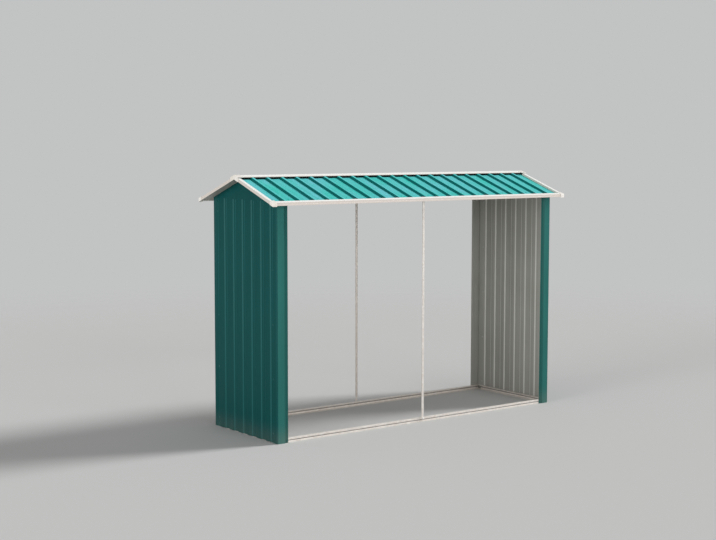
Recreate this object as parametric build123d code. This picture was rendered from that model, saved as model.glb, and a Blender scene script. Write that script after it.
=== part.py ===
from build123d import *

import os
from math import atan2, cos, radians, sin, tan

# Log store of folded sheet steel: two ribbed side walls, an open front and back
# with one slim centre post each, and a ribbed double-pitch roof with white trims.
# Millimetres. X runs along the length, the front faces -Y, and Z is up.
# The origin is on the ground, at the middle of the plan.

# Overall sizes
frame_length = 2202.0
frame_depth = 704.0
eave_height = 1403.0
roof_pitch = 19.6
end_overhang = 71.0
front_overhang = 61.0

# Sheet thicknesses and clearances
frame_gauge = 1.5
sheet_gauge = 0.8
trim_gauge = 1.0
fit_clearance = 0.3
bend_radius = 1.2
cut_margin = 1.0

# Corner posts
post_face = 46.0
post_step_run = 10.0
post_step_depth = 5.0
post_lip = 18.0
post_side = 66.0

# Centre posts
centre_post_width = 14.0
centre_post_depth = 8.0
centre_post_gauge = 1.2
centre_post_foot = 14.0
centre_post_head_drop = 8.0

# Base rails
base_rail_height = 28.0
base_rail_bottom_flange = 30.0
base_rail_top_flange = 22.0
swage_width = 9.0
swage_floor = 3.0
swage_depth = 1.6

# Top rails
top_rail_drop = 2.0
top_rail_flange = 30.0
top_rail_lip = 15.0
side_rail_height = 30.0

# Ridge beam
beam_wing = 22.0
beam_web = 34.0
beam_width = 30.0

# Side walls
groove_pitch = 101.0
groove_floor = 34.0
groove_run = 8.0
groove_depth = 5.0
wall_edge_flat = 12.0
wall_ground_gap = 3.0

# Gables
gable_rise = 23.0
gable_flange = 30.0

# Roof sheets
rib_pitch = 106.0
sheets_per_slope = 3
rib_crest = 15.0
rib_run = 9.0
rib_height = 13.0
roof_edge_pan = 45.0
ridge_gap = 8.0

# Roof trims
eave_face = 18.5
eave_flange = 24.0
eave_lip = 7.0
trim_bead = 1.5
verge_width = 22.0
verge_rise = 14.0
verge_drop = 4.0
ridge_wing = 28.0
ridge_lip = 3.0

# Moulded caps
cap_wall = 2.0
cap_drop = 5.0
corner_cap_size = 38.0
ridge_end_length = 38.0
ridge_end_wing = 44.0

# Worked-out places
half_length = frame_length / 2
half_depth = frame_depth / 2
half_roof_length = half_length + end_overhang
half_roof_depth = half_depth + front_overhang
slope_cos = cos(radians(roof_pitch))
slope_sin = sin(radians(roof_pitch))
slope_tan = tan(radians(roof_pitch))
slope_length = half_roof_depth / slope_cos
crest_seat = rib_height + 2 * sheet_gauge + fit_clearance
face_inset = trim_bead + trim_gauge + fit_clearance
sheet_end_setback = (face_inset + crest_seat * slope_sin) / slope_cos
eave_pan_height = eave_height + eave_face - (crest_seat + trim_gauge) / slope_cos
rail_face = half_depth - post_step_depth - frame_gauge
rail_half_length = half_length - frame_gauge
side_rail_half_length = rail_face - base_rail_bottom_flange
wall_outer = half_length + sheet_gauge + groove_depth
gable_base_height = eave_height + gable_rise
groove_width = groove_floor + 2 * groove_run
grooved_depth = frame_depth - 2 * groove_run - 2 * wall_edge_flat
groove_count = int((grooved_depth - groove_width) / groove_pitch) + 1
ribbed_length = 2 * half_roof_length - 2 * roof_edge_pan
ribs_per_sheet = int(ribbed_length / rib_pitch / sheets_per_slope)


def roof_height(y, offset=0.0):
    """Height of the plane that lies offset above the roof pans' underside."""
    return eave_pan_height + (half_roof_depth - abs(y)) * slope_tan + offset / slope_cos


def bend_radii(points):
    """Radius of each bend: round where the shown side is convex, sharp at the roots."""
    radii = []
    for before, corner, after in zip(points, points[1:], points[2:]):
        run_in = Vector(*corner) - Vector(*before)
        run_out = Vector(*after) - Vector(*corner)
        turns_right = run_in.cross(run_out).Z < 0
        radii.append(bend_radius if turns_right else 0)
    return radii


def strip(points, gauge, side=Side.RIGHT):
    """Cross-section of a folded sheet. Its points run with the shown side on their left."""
    line = FilletPolyline(*points, radius=bend_radii(points))
    return make_face(offset(line, amount=gauge, side=side, kind=Kind.ARC).edges())


def along_x(section, start, length):
    """Extrude a section drawn in Y and Z along the length."""
    return extrude(Plane.YZ.offset(start) * section, amount=length)


def along_y(section, start, length):
    """Extrude a section drawn in X and Z towards the back."""
    plane = Plane(origin=(0, start, 0), x_dir=(1, 0, 0), z_dir=(0, -1, 0))
    return extrude(plane * section, amount=-length)


def up_front_slope(section, start, length):
    """Extrude a section drawn in X and height above the pan up the front slope."""
    foot = Vector(0, -half_roof_depth + start * slope_cos, eave_pan_height + start * slope_sin)
    plane = Plane(origin=foot, x_dir=(1, 0, 0), z_dir=(0, -slope_cos, -slope_sin))
    return extrude(plane * section, amount=-length)


def under_roof(part, gap=fit_clearance):
    """Trim a piece to the roof line."""
    reach = half_roof_depth
    outline = Polyline(
        (-reach, 0),
        (reach, 0),
        (reach, roof_height(reach, -gap)),
        (0, roof_height(0, -gap)),
        (-reach, roof_height(reach, -gap)),
        close=True,
    )
    return part & along_x(make_face(outline), -half_roof_length, 2 * half_roof_length)


def to_back(part):
    """Mirror a piece from the front to the back."""
    return mirror(part, about=Plane.XZ)


def to_right(part):
    """Mirror a piece from the left end to the right end."""
    return mirror(part, about=Plane.YZ)


def save(part, name):
    """Write one piece under its own name."""
    export_step(part, f"parts/{name}.step")


# Corner posts


def corner_post():
    """Front left post: a plain side flange, a front face and a stepped lip for the rails."""
    lip_start = -half_length + post_face + post_step_run
    outline = [
        (lip_start + post_lip, -half_depth + post_step_depth),
        (lip_start, -half_depth + post_step_depth),
        (-half_length + post_face, -half_depth),
        (-half_length, -half_depth),
        (-half_length, -half_depth + post_side),
    ]
    post = extrude(strip(outline, frame_gauge), amount=gable_base_height)
    return under_roof(post)


# Rails between the posts


def base_rail_outline(face):
    """Base rail section: bottom flange, face with a pressed swage, and top flange."""
    middle = base_rail_height / 2
    return [
        (face + base_rail_bottom_flange, 0),
        (face, 0),
        (face, middle - swage_width / 2),
        (face + swage_depth, middle - swage_floor / 2),
        (face + swage_depth, middle + swage_floor / 2),
        (face, middle + swage_width / 2),
        (face, base_rail_height),
        (face + base_rail_top_flange, base_rail_height),
    ]


def front_base_rail():
    """Base rail that closes the foot of the open front."""
    section = strip(base_rail_outline(-rail_face), frame_gauge)
    return along_x(section, -rail_half_length, 2 * rail_half_length)


def left_base_rail():
    """Base rail inside the left wall, between the front and back base rails."""
    section = strip(base_rail_outline(-rail_half_length), frame_gauge)
    return along_y(section, -side_rail_half_length, 2 * side_rail_half_length)


def front_top_rail():
    """Top rail with a sloping flange that carries the roof sheets."""
    foot = eave_height - top_rail_drop
    flange_back = -rail_face + top_rail_flange
    outline = [
        (-rail_face + top_rail_lip, foot),
        (-rail_face, foot),
        (-rail_face, roof_height(rail_face)),
        (flange_back, roof_height(flange_back)),
    ]
    section = strip(outline, frame_gauge)
    return along_x(section, -rail_half_length, 2 * rail_half_length)


def left_top_rail():
    """Top rail inside the left wall, under the foot of the gable."""
    top = gable_base_height
    outline = [
        (-rail_half_length + top_rail_lip, top - side_rail_height),
        (-rail_half_length, top - side_rail_height),
        (-rail_half_length, top),
        (-rail_half_length + top_rail_flange, top),
    ]
    section = strip(outline, frame_gauge)
    return along_y(section, -side_rail_half_length, 2 * side_rail_half_length)


def front_centre_post():
    """Slim channel screwed to the faces of the front base rail and top rail."""
    half_width = centre_post_width / 2
    outline = [
        (half_width, -rail_face),
        (half_width, -rail_face - centre_post_depth),
        (-half_width, -rail_face - centre_post_depth),
        (-half_width, -rail_face),
    ]
    head = roof_height(rail_face) - centre_post_head_drop
    section = Plane.XY.offset(centre_post_foot) * strip(outline, centre_post_gauge)
    return extrude(section, amount=head - centre_post_foot)


# Side walls and gables


def left_wall():
    """Grooved sheet over the outside of the left posts, with its edges turned in."""
    floor = -half_length - sheet_gauge
    outline = [(floor, -half_depth), (-wall_outer, -half_depth + groove_run)]
    for i in range(groove_count):
        centre = (i - (groove_count - 1) / 2) * groove_pitch
        outline += [
            (-wall_outer, centre - groove_width / 2),
            (floor, centre - groove_floor / 2),
            (floor, centre + groove_floor / 2),
            (-wall_outer, centre + groove_width / 2),
        ]
    outline += [(-wall_outer, half_depth - groove_run), (floor, half_depth)]
    section = Plane.XY.offset(wall_ground_gap) * strip(outline, sheet_gauge)
    return under_roof(extrude(section, amount=gable_base_height - wall_ground_gap))


def left_gable():
    """Flat triangular tray whose flanges are notched for the ridge beam and the top rails."""
    foot = gable_base_height
    reach = half_roof_depth - (foot - eave_pan_height) / slope_tan
    triangle = make_face(Polyline((-reach, foot), (reach, foot), (0, roof_height(0)), close=True))
    inner = offset(triangle, amount=-sheet_gauge, kind=Kind.INTERSECTION)
    tray = along_x(triangle, -wall_outer, gable_flange)
    tray -= along_x(inner, -wall_outer + sheet_gauge, gable_flange)
    beam_half = beam_width / 2 + beam_wing * slope_cos + frame_gauge * slope_sin
    notch_half = beam_half + fit_clearance
    notch = Pos(-wall_outer + sheet_gauge, 0, roof_height(0)) * Box(
        gable_flange,
        2 * notch_half,
        2 * (notch_half * slope_tan + 2 * sheet_gauge),
        align=(Align.MIN, Align.CENTER, Align.CENTER),
    )
    rail_back = rail_face - top_rail_flange - fit_clearance
    rail_notch = Pos(-wall_outer + sheet_gauge, -rail_back, foot) * Box(
        gable_flange,
        half_depth,
        half_depth,
        align=(Align.MIN, Align.MAX, Align.CENTER),
    )
    return tray - notch - rail_notch - to_back(rail_notch)


def roof_beam():
    """Hat-shaped beam under the ridge, from gable to gable, drawn along its lower side."""
    half_width = beam_width / 2
    wing_edge = half_width + beam_wing * slope_cos
    web_foot = roof_height(half_width) - beam_web
    outline = [
        (wing_edge, roof_height(wing_edge, -frame_gauge)),
        (half_width, roof_height(half_width, -frame_gauge)),
        (half_width, web_foot),
        (-half_width, web_foot),
        (-half_width, roof_height(half_width, -frame_gauge)),
        (-wing_edge, roof_height(wing_edge, -frame_gauge)),
    ]
    half_span = wall_outer - sheet_gauge
    return along_x(strip(outline, frame_gauge), -half_span, 2 * half_span)


# Roof sheets


def rib_points(centre, swell=0.0):
    """Underside of one rib. Swell makes the larger rib that laps over its neighbour's."""
    flank = atan2(rib_height, rib_run)
    spread = swell / sin(flank)
    foot = rib_crest / 2 + rib_run + spread
    top = foot - (rib_height + swell) * rib_run / rib_height
    height = rib_height + swell
    return [
        (centre - foot, 0),
        (centre - top, height),
        (centre + top, height),
        (centre + foot, 0),
    ]


def rib_centre(index):
    """Place of a rib along the length, counted from the left end."""
    rib_total = ribs_per_sheet * sheets_per_slope
    return (index - (rib_total - 1) / 2) * rib_pitch


def roof_sheet(order):
    """One ribbed sheet of the front slope. The end sheets lap over the middle one."""
    first = order * ribs_per_sheet
    ribs = [rib_points(rib_centre(first + i)) for i in range(ribs_per_sheet)]
    swell = sheet_gauge + fit_clearance
    lip_height = sheet_gauge + fit_clearance
    edge = half_roof_length - trim_gauge - fit_clearance
    outline = [point for rib in ribs for point in rib]
    if order == 0:
        lap = rib_points(rib_centre(first + ribs_per_sheet), swell)
        lip = (lap[3][0] - lip_height * rib_run / rib_height, lip_height)
        outline = [(-edge, 0)] + outline + lap[:3] + [lip]
    if order == sheets_per_slope - 1:
        lap = rib_points(rib_centre(first - 1), swell)
        lip = (lap[0][0] + lip_height * rib_run / rib_height, lip_height)
        outline = [lip] + lap[1:] + outline + [(edge, 0)]
    reach = slope_length - sheet_end_setback - ridge_gap
    return up_front_slope(strip(outline, sheet_gauge, side=Side.LEFT), sheet_end_setback, reach)


# White trims


def ridge_capping():
    """Folded ridge cap whose turned-down lips rest on the lapped ribs."""
    wing_run = ridge_wing * slope_cos
    top = crest_seat + ridge_lip
    lip_run = wing_run + ridge_lip * slope_sin
    outline = [
        (-lip_run, roof_height(lip_run, crest_seat)),
        (-wing_run, roof_height(wing_run, top)),
        (0, roof_height(0, top)),
        (wing_run, roof_height(wing_run, top)),
        (lip_run, roof_height(lip_run, crest_seat)),
    ]
    half_span = half_roof_length - trim_gauge - fit_clearance
    return along_x(strip(outline, trim_gauge, side=Side.LEFT), -half_span, 2 * half_span)


def front_eave_trim():
    """Eave trim: a stepped face that hides the sheet ends and a flange over the ribs."""
    top = eave_height + eave_face
    outer = -half_roof_depth
    flange_back = outer + eave_flange * slope_cos
    upper_face = outer + trim_bead
    outline = [
        (outer, eave_height),
        (outer, eave_height + eave_lip),
        (upper_face, eave_height + eave_lip + trim_bead),
        (upper_face, top + trim_bead * slope_tan),
        (flange_back, roof_height(flange_back, crest_seat + trim_gauge)),
    ]
    half_span = half_roof_length - verge_width - fit_clearance
    section = strip(outline, trim_gauge)
    return along_x(section, -half_span, 2 * half_span)


def front_left_verge():
    """Verge trim: an inverted channel over the sheet's end, standing on its pan."""
    outer = -half_roof_length
    outline = [
        (outer, -verge_drop),
        (outer, verge_rise),
        (outer + verge_width, verge_rise),
        (outer + verge_width, sheet_gauge),
    ]
    head = slope_length - ridge_wing - ridge_lip
    trim = up_front_slope(strip(outline, trim_gauge), -eave_flange, head + eave_flange)
    return trim - Pos(0, -half_roof_depth, eave_height) * Box(
        2 * half_roof_length + cut_margin,
        eave_flange * 2,
        eave_flange * 2,
        align=(Align.CENTER, Align.MAX, Align.CENTER),
    )


# Moulded end caps


def slope_block(start_x, end_x, front, back, low, high):
    """Block on the front slope between two heights above the pan, with upright ends."""
    outline = Polyline(
        (front, roof_height(front, low)),
        (back, roof_height(back, low)),
        (back, roof_height(back, high)),
        (front, roof_height(front, high)),
        close=True,
    )
    return along_x(make_face(outline), start_x, end_x - start_x)


def front_left_corner_cap():
    """Moulded cap over the meeting of the eave trim and the verge trim."""
    side = -half_roof_length - fit_clearance
    front = -half_roof_depth - fit_clearance
    back = front - cap_wall + corner_cap_size
    inner_end = side - cap_wall + corner_cap_size
    top = max(verge_rise, crest_seat + trim_gauge) + fit_clearance
    block = slope_block(side - cap_wall, inner_end, front - cap_wall, back, -cap_drop, top + cap_wall)
    hollow_back = back + cut_margin
    return block - slope_block(side, inner_end + cut_margin, front, hollow_back, -2 * cap_drop, top)


def left_ridge_end():
    """Moulded cap over the end of the ridge and the heads of both verge trims."""
    side = -half_roof_length - fit_clearance
    inner_end = side - cap_wall + ridge_end_length
    reach = ridge_end_wing * slope_cos
    top = max(crest_seat + ridge_lip + trim_gauge, verge_rise) + fit_clearance
    block = slope_block(side - cap_wall, inner_end, -reach, 0, -cap_drop, top + cap_wall)
    hollow_front = -reach - cut_margin
    half = block - slope_block(side, inner_end + cut_margin, hollow_front, 0, -2 * cap_drop, top)
    return half + to_back(half)


os.makedirs("parts", exist_ok=True)

post = corner_post()
save(post, "corner_post_front_left")
save(to_right(post), "corner_post_front_right")
save(to_back(post), "corner_post_back_left")
save(to_right(to_back(post)), "corner_post_back_right")

for name, front in (
    ("base_rail", front_base_rail()),
    ("top_rail", front_top_rail()),
    ("centre_post", front_centre_post()),
    ("eave_trim", front_eave_trim()),
):
    save(front, f"{name}_front")
    save(to_back(front), f"{name}_back")

for name, left in (
    ("base_rail", left_base_rail()),
    ("top_rail", left_top_rail()),
    ("side_wall", left_wall()),
    ("gable", left_gable()),
    ("ridge_end_cap", left_ridge_end()),
):
    save(left, f"{name}_left")
    save(to_right(left), f"{name}_right")

for name, corner in (
    ("verge_trim", front_left_verge()),
    ("eave_corner_cap", front_left_corner_cap()),
):
    save(corner, f"{name}_front_left")
    save(to_right(corner), f"{name}_front_right")
    save(to_back(corner), f"{name}_back_left")
    save(to_right(to_back(corner)), f"{name}_back_right")

for order in range(sheets_per_slope):
    sheet = roof_sheet(order)
    save(sheet, f"roof_sheet_front_{order + 1}")
    save(to_back(sheet), f"roof_sheet_back_{order + 1}")

save(roof_beam(), "ridge_beam")
save(ridge_capping(), "ridge_cap")
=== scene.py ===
"""Log store of folded sheet steel: finishes, fasteners, moulded caps and studio.

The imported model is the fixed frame. Its folded sheets keep their shape and get
the finishes of coated and galvanised steel; the moulded caps are rebuilt with
their rounded edges, and every screw, rivet and nut is added where it holds.
Metres throughout, unless a name says mm. The front faces -Y and Z is up.
"""

from __future__ import annotations

import logging  # noqa: E402
import math  # noqa: E402
import random  # noqa: E402
from collections.abc import Callable, Iterable, Sequence  # noqa: E402
from dataclasses import dataclass, field, replace  # noqa: E402
from enum import Enum  # noqa: E402

import bmesh  # noqa: E402
import bpy  # noqa: E402
from mathutils import Matrix, Vector  # noqa: E402


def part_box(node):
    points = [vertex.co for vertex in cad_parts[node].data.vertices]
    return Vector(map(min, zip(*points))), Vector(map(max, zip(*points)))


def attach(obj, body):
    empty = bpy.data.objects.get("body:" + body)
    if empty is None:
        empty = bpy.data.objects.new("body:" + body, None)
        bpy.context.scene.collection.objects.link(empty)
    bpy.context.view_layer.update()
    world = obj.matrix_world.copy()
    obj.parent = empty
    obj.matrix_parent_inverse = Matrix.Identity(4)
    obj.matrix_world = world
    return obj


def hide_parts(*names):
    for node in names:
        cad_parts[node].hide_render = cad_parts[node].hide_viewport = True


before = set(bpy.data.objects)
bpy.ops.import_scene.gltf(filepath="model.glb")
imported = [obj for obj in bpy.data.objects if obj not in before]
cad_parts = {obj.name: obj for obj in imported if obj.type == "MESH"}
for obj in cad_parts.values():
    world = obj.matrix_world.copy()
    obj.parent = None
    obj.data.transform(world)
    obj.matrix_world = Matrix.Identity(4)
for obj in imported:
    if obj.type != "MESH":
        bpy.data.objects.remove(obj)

log = logging.getLogger("log_store")

NodeTree = bpy.types.NodeTree
Socket = bpy.types.NodeSocket

MM = 0.001
ROOF_PITCH = math.radians(19.6)
SLOPE_COS = math.cos(ROOF_PITCH)
SLOPE_SIN = math.sin(ROOF_PITCH)
SLOPE_TAN = math.tan(ROOF_PITCH)


# Small shared helpers


def linear(hex_colour: str, alpha: float = 1.0) -> tuple[float, float, float, float]:
    """Turn an sRGB hex colour into the linear colour that a socket takes.

    Args:
        hex_colour: Colour as "#RRGGBB".
        alpha: Fourth channel.

    Returns:
        Linear red, green, blue and alpha.
    """
    channels = [int(hex_colour[i : i + 2], 16) / 255 for i in (1, 3, 5)]
    red, green, blue = (c / 12.92 if c <= 0.04045 else ((c + 0.055) / 1.055) ** 2.4 for c in channels)
    return red, green, blue, alpha


def per_mm(size_mm: float) -> float:
    """Texture scale whose features are size_mm wide in Object coordinates."""
    return 1000.0 / size_mm


def add_node(
    tree: NodeTree, kind: str, inputs: dict | None = None, **settings: object
) -> bpy.types.Node:
    """Add a node with its settings and links.

    Args:
        tree: Node tree that gets the node.
        kind: Type of the node.
        inputs: Socket name or number, and the value or output socket for it.
        **settings: Properties of the node.

    Returns:
        The new node.
    """
    node = tree.nodes.new(kind)
    for name, value in settings.items():
        setattr(node, name, value)
    for socket, value in (inputs or {}).items():
        if isinstance(value, Socket):
            tree.links.new(value, node.inputs[socket])
        else:
            node.inputs[socket].default_value = value
    return node


def new_material(name: str) -> tuple[bpy.types.Material, NodeTree]:
    """Start an empty node material.

    Args:
        name: Name of the finish.

    Returns:
        The material and its node tree.
    """
    material = bpy.data.materials.new(name)
    material.use_nodes = True
    material.node_tree.nodes.clear()
    return material, material.node_tree


class Facing(Enum):
    """Which way the shown side of a folded sheet looks."""

    LEFT = (-1.0, 0.0, 0.0)
    RIGHT = (1.0, 0.0, 0.0)
    FRONT = (0.0, -1.0, 0.0)
    BACK = (0.0, 1.0, 0.0)
    FRONT_LEFT = (-0.707, -0.707, 0.0)
    FRONT_RIGHT = (0.707, -0.707, 0.0)
    BACK_LEFT = (-0.707, 0.707, 0.0)
    BACK_RIGHT = (0.707, 0.707, 0.0)
    FRONT_SLOPE = (0.0, -SLOPE_SIN, SLOPE_COS)
    BACK_SLOPE = (0.0, SLOPE_SIN, SLOPE_COS)
    UP = (0.0, 0.0, 1.0)
    FRONT_UP = (0.0, -0.6, 0.8)
    BACK_UP = (0.0, 0.6, 0.8)


class Fold(Enum):
    """Which way the fold lines of a sheet run, so that its sheared ends face along it."""

    UPRIGHT = (0.0, 0.0, 1.0)
    LENGTHWAYS = (1.0, 0.0, 0.0)
    CROSSWAYS = (0.0, 1.0, 0.0)
    UP_FRONT_SLOPE = (0.0, SLOPE_COS, SLOPE_SIN)
    UP_BACK_SLOPE = (0.0, -SLOPE_COS, SLOPE_SIN)


# Finishes


@dataclass(frozen=True)
class CoilCoat:
    """Polyester coil coating, rolled onto steel strip before it was folded.

    It gives the eye an even satin colour with a faint orange peel, a pale grey
    backing coat on the hidden side, a thin line of bare zinc at sheared ends,
    the slow waves of thin rolled sheet, and rain streaks with dust at the foot.
    Fold flanks get a tone of their own, which paints shade where it is darker and a
    highlight where it is lighter; a fine painted highlight line runs down the
    grooves of a wall, fainter towards the foot; the set-back lip of a post gets
    painted shade; and on the roof the mottle paints patches of sky reflection.
    """

    name: str
    shown: str
    shown_weathered_and_sheen: str
    backing: str = "#B4B4AE"
    backing_weathered: str = "#A3A29A"
    sheared: str = "#A4A6A6"
    dust: str = "#8D8A7E"
    ior: float = 1.5
    roughness: float = 0.42
    roughness_spread: float = 0.10
    specular_level: float = 0.25
    wave_mm: float = 210.0
    wave_height_mm: float = 1.2
    # The real peel is under 1 mm across; 3 mm is as fine as a close view shows.
    peel_mm: float = 3.0
    peel_height_mm: float = 0.02
    streak_mm: float = 46.0
    streak_stretch: float = 0.045
    dust_height_mm: float = 130.0
    dust_amount: float = 0.22
    # Fold tones are painted light: a darker tone paints shade on the flanks, a lighter one a highlight.
    fold_shading_tone: str = "#2F6F6E"
    fold_backing_shading_tone: str = "#DDDDD6"
    fold_shading_amount: float = 0.0
    fold_axis: str = "Y"
    fold_reach_mm: float = 9999.0
    shown_from: float = 0.02
    shown_blend: float = 0.04
    # Painted shade on the set-back lip of a post, nearer the middle than lip_line_mm.
    lip_shade_tone: str = "#17544F"
    lip_line_mm: float = 0.0
    # A fine painted highlight line down each groove of a wall, fainter towards the foot.
    highlight_pitch_mm: float = 0.0
    # The painted highlight line is 3 to 8 mm wide; 5 mm is as fine as the render shows.
    highlight_half_mm: tuple[float, float] = (1.5, 4.0)
    highlight_amount: tuple[float, float] = (0.25, 1.0)
    highlight_fade_mm: tuple[float, float] = (400.0, 1250.0)

    def material(self, facing: Facing, fold: Fold) -> bpy.types.Material:
        """Build the coating for sheets that look one way and fold one way.

        Args:
            facing: Side that carries the colour coat.
            fold: Run of the fold lines.

        Returns:
            The finished material.
        """
        material, tree = new_material(f"{self.name}_{facing.name}_{fold.name}".lower())
        place = add_node(tree, "ShaderNodeTexCoord")
        here, normal = place.outputs["Object"], place.outputs["Normal"]
        at = add_node(tree, "ShaderNodeSeparateXYZ", {0: here})
        mottle = add_node(tree, "ShaderNodeTexNoise", {
            "Vector": here, "Scale": per_mm(self.wave_mm), "Detail": 3.0, "Roughness": 0.55,
        }).outputs["Fac"]
        streaks = self.streaks(tree, here, fold)
        # Mottle and streaks that weather the coat; on the roof they paint patches of sky reflection.
        worn_and_sheen = add_node(tree, "ShaderNodeMix", {0: 0.5, 2: mottle, 3: streaks}).outputs[0]
        shown, backing = self.flats(tree, worn_and_sheen)
        # Painted light: fold flanks, a highlight line in wall grooves and shade on post lips.
        if self.fold_shading_amount:
            shown, backing = self.folds(tree, at, normal, shown, backing)
        if self.highlight_pitch_mm:
            shown = self.paint_groove_highlight(tree, at, shown)
        if self.lip_line_mm:
            shown = self.paint_lip_shade(tree, at, shown)
        coat = self.two_sides(tree, normal, facing, shown, backing)
        edged = self.sheared_ends(tree, normal, fold, coat)
        satin = add_node(tree, "ShaderNodeMapRange", {
            "Value": worn_and_sheen, "From Min": 0.3, "From Max": 0.7,
            "To Min": self.roughness - self.roughness_spread / 2,
            "To Max": self.roughness + self.roughness_spread / 2,
        })
        wave = add_node(
            tree, "ShaderNodeBump", {"Height": mottle, "Distance": self.wave_height_mm * MM}
        )
        peel = add_node(tree, "ShaderNodeTexNoise", {"Vector": here, "Scale": per_mm(self.peel_mm)})
        skin = add_node(tree, "ShaderNodeBump", {
            "Height": peel.outputs["Fac"], "Distance": self.peel_height_mm * MM,
            "Normal": wave.outputs[0],
        })
        shader = add_node(tree, "ShaderNodeBsdfPrincipled", {
            "Base Color": self.dusty_foot(tree, at, streaks, edged), "Roughness": satin.outputs[0],
            "Normal": skin.outputs[0], "IOR": self.ior, "Specular IOR Level": self.specular_level,
        })
        add_node(tree, "ShaderNodeOutputMaterial", {"Surface": shader.outputs[0]})
        return material

    def streaks(self, tree: NodeTree, here: Socket, fold: Fold) -> Socket:
        """Draw the streaks that rain leaves, down a wall or down a slope.

        Args:
            tree: Node tree of the coating.
            here: Place on the piece.
            fold: Run of the fold lines.

        Returns:
            Strength of the streaks.
        """
        level = fold in (Fold.UPRIGHT, Fold.LENGTHWAYS, Fold.CROSSWAYS)
        stretch = [1.0, 1.0 if level else self.streak_stretch, self.streak_stretch]
        stretched = add_node(tree, "ShaderNodeMapping", {"Vector": here, "Scale": stretch})
        return add_node(tree, "ShaderNodeTexNoise", {
            "Vector": stretched.outputs[0], "Scale": per_mm(self.streak_mm), "Detail": 4.0,
        }).outputs["Fac"]

    def flats(self, tree: NodeTree, worn_and_sheen: Socket) -> tuple[Socket, Socket]:
        """Weather the colour coat and the backing coat, and paint sky reflection on the roof.

        Args:
            tree: Node tree of the coating.
            worn_and_sheen: How weathered the coat is, and on the roof how strong the painted sky reflection
                is.

        Returns:
            Colours of the shown side and of the backing.
        """
        weathered_and_sheen_share = add_node(
            tree, "ShaderNodeMapRange", {"Value": worn_and_sheen, "From Min": 0.36, "From Max": 0.64}
        )
        shown, backing = (
            add_node(tree, "ShaderNodeMix", {
                0: weathered_and_sheen_share.outputs[0], 6: linear(fresh), 7: linear(aged),
            }, data_type="RGBA").outputs[2]
            for fresh, aged in (
                (self.shown, self.shown_weathered_and_sheen), (self.backing, self.backing_weathered)
            )
        )
        return shown, backing

    def folds(
        self, tree: NodeTree, at: bpy.types.Node, normal: Socket, shown: Socket, backing: Socket
    ) -> tuple[Socket, Socket]:
        """Paint the fold tone on rib and groove flanks: shade where darker, highlight where lighter.

        Args:
            tree: Node tree of the coating.
            at: Place on the piece, by axis.
            normal: Way that the surface looks.
            shown: Colour of the shown side.
            backing: Colour of the backing.

        Returns:
            Both colours with their flanks.
        """
        turn = add_node(tree, "ShaderNodeSeparateXYZ", {0: normal})
        steep = add_node(
            tree, "ShaderNodeMath", {0: turn.outputs[self.fold_axis]}, operation="ABSOLUTE"
        )
        flank = add_node(tree, "ShaderNodeMapRange", {
            "Value": steep.outputs[0], "From Min": 0.4, "From Max": 0.5, "To Max": self.fold_shading_amount,
        }).outputs[0]
        reached = add_node(tree, "ShaderNodeMath", {
            0: at.outputs["Y"], 1: 0.0, 2: self.fold_reach_mm * MM,
        }, operation="COMPARE")
        outer_flank = add_node(
            tree, "ShaderNodeMath", {0: flank, 1: reached.outputs[0]}, operation="MULTIPLY"
        ).outputs[0]
        shown, backing = (
            add_node(
                tree, "ShaderNodeMix", {0: share, 6: flat, 7: linear(tone)}, data_type="RGBA"
            ).outputs[2]
            for share, flat, tone in (
                (outer_flank, shown, self.fold_shading_tone), (flank, backing, self.fold_backing_shading_tone)
            )
        )
        return shown, backing

    def paint_groove_highlight(self, tree: NodeTree, at: bpy.types.Node, shown: Socket) -> Socket:
        """Paint a fine highlight line down the floor of each groove.

        Args:
            tree: Node tree of the coating.
            at: Place on the piece, by axis.
            shown: Colour of the shown side.

        Returns:
            The colour with its lines, which are fainter towards the foot.
        """
        half = self.highlight_pitch_mm * MM / 2
        from_groove = add_node(
            tree, "ShaderNodeMath", {0: at.outputs["Y"], 1: half, 2: -half}, operation="WRAP"
        )
        beside = add_node(tree, "ShaderNodeMath", {0: from_groove.outputs[0]}, operation="ABSOLUTE")
        highlight_core = add_node(tree, "ShaderNodeMapRange", {
            "Value": beside.outputs[0], "From Min": self.highlight_half_mm[0] * MM,
            "From Max": self.highlight_half_mm[1] * MM, "To Min": 1.0, "To Max": 0.0,
        }, interpolation_type="SMOOTHSTEP")
        kept = add_node(tree, "ShaderNodeMapRange", {
            "Value": at.outputs["Z"], "From Min": self.highlight_fade_mm[0] * MM,
            "From Max": self.highlight_fade_mm[1] * MM, "To Min": self.highlight_amount[0],
            "To Max": self.highlight_amount[1],
        })
        line = add_node(
            tree, "ShaderNodeMath", {0: highlight_core.outputs[0], 1: kept.outputs[0]}, operation="MULTIPLY"
        )
        return add_node(tree, "ShaderNodeMix", {
            0: line.outputs[0], 6: shown, 7: linear(self.fold_shading_tone),
        }, data_type="RGBA").outputs[2]

    def paint_lip_shade(self, tree: NodeTree, at: bpy.types.Node, shown: Socket) -> Socket:
        """Paint shade on the set-back lip of a post and on its step.

        Args:
            tree: Node tree of the coating.
            at: Place on the piece, by axis.
            shown: Colour of the shown side.

        Returns:
            The colour with its darker lip.
        """
        set_back = add_node(tree, "ShaderNodeMath", {
            0: at.outputs["X"], 1: 0.0, 2: self.lip_line_mm * MM,
        }, operation="COMPARE")
        return add_node(tree, "ShaderNodeMix", {
            0: set_back.outputs[0], 6: shown, 7: linear(self.lip_shade_tone),
        }, data_type="RGBA").outputs[2]

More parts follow.
